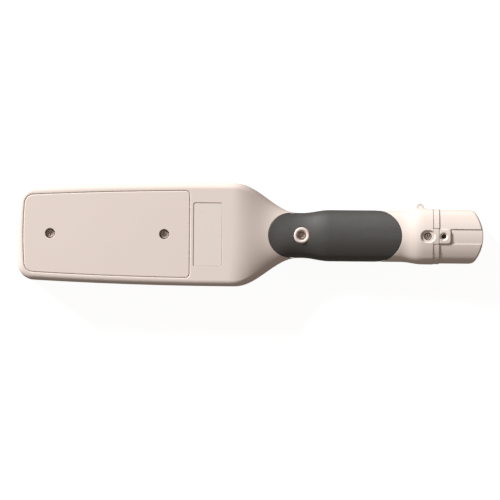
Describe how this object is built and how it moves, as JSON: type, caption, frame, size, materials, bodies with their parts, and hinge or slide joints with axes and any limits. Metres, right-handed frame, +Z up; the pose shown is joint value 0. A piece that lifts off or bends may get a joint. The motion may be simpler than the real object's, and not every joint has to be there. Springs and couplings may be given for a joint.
{
  "type": "handheld metal detector",
  "caption": "Handheld security metal detector wand: flat sensing paddle with a screwed coil cover, waisted rubber grip and a draw-off battery end cap.",
  "frame": {"origin": "middle of the wand's footprint, on the plane that its front face rests on", "axes": "+X from the paddle's tip to the end cap, +Z up out of the rear face with the coil cover, +Y across"},
  "size_m": [0.384, 0.085, 0.038],
  "materials": {
    "shell_white": "fine moulded satin",
    "grip_rubber": "matt",
    "screw_steel": "zinc plated",
    "screw_black": "blackened",
    "label_film": "satin film",
    "lens_smoke": "clear smoked",
    "led_clear": "clear",
    "board_green": "solder mask",
    "chip_black": "moulded",
    "capacitor_blue": "sleeved",
    "connector_cream": "moulded",
    "winding_copper": "enamelled",
    "former_black": "moulded",
    "control_grey": "satin",
    "battery_case": "printed jacket, bare",
    "motor_steel": "bright",
    "lead_red": "insulation",
    "lead_black": "insulation",
    "ribbon_grey": "insulation",
    "foam_grey": "foam",
    "gasket_black": "matt"
  },
  "bodies": {
    "casing": {"rear_shell": "shell_white", "front_shell": "shell_white", "rear_grip": "grip_rubber", "front_grip": "grip_rubber", "coil_cover": "shell_white", "rating_label": "label_film", "cover_screws": "screw_steel", "grip_screw": "screw_steel", "tail_screw": "screw_steel", "battery_tube": "shell_white", "cap_seal": "gasket_black", "battery": "battery_case", "battery_clip": "chip_black", "coil_former": "former_black", "transmit_coil": "winding_copper", "receive_coils": "winding_copper", "main_board": "board_green", "board_screws": "screw_steel", "board_chips": "chip_black", "board_capacitors": "capacitor_blue", "board_connectors": "connector_cream", "indicator_leds": "led_clear", "indicator_lens": "lens_smoke", "slide_switch": "motor_steel", "tact_switch": "chip_black", "buzzer": "chip_black", "vibration_motor": "motor_steel", "battery_lead_red": "lead_red", "battery_lead_black": "lead_black", "motor_leads": "ribbon_grey", "coil_leads": "ribbon_grey"},
    "end_cap": {"end_cap": "shell_white", "cap_screw": "screw_black", "battery_pad": "foam_grey"},
    "mode_slider": {"mode_slider": "control_grey"},
    "power_button": {"power_button": "control_grey"},
    "motor_weight": {"motor_weight": "motor_steel"}
  },
  "joints": [
    {"name": "cap_pull", "type": "slide", "parent": "casing", "child": "end_cap", "axis": [1, 0, 0], "range_m": [0, 0.06]},
    {"name": "mode_slide", "type": "slide", "parent": "casing", "child": "mode_slider", "axis": [1, 0, 0], "range_m": [-0.003, 0.003]},
    {"name": "button_press", "type": "slide", "parent": "casing", "child": "power_button", "axis": [0, 0, 1], "range_m": [0, 0.0008], "stiffness_N_per_m": 1500},
    {"name": "motor_spin", "type": "hinge", "parent": "casing", "child": "motor_weight", "pos_m": [0.09, 0, 0.014], "axis": [1, 0, 0], "continuous": true}
  ]
}
